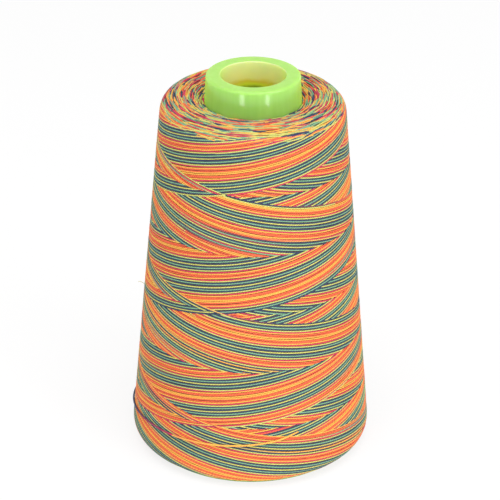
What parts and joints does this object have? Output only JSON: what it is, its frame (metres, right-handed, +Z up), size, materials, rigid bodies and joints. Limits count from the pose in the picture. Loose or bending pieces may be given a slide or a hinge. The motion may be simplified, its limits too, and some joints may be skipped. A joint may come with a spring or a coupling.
{
  "type": "overlocker thread cone",
  "caption": "Tapered plastic cone with a thick open collar, carrying a cross-wound package of variegated overlocker thread.",
  "frame": {"origin": "middle of the cone's foot, on the table that it stands on", "axes": "+Z up along the cone's axis, towards the collar; -Y towards the viewer"},
  "size_m": [0.0646, 0.0644, 0.105],
  "materials": {
    "cone_plastic": "translucent lime green, moulded, semi-gloss",
    "thread": "twisted polyester thread, dyed in a repeat of red, orange, yellow, green, teal and navy"
  },
  "bodies": {
    "root": {"plastic_cone": "cone_plastic", "thread_winding": "thread", "last_turn": "thread"}
  },
  "joints": []
}
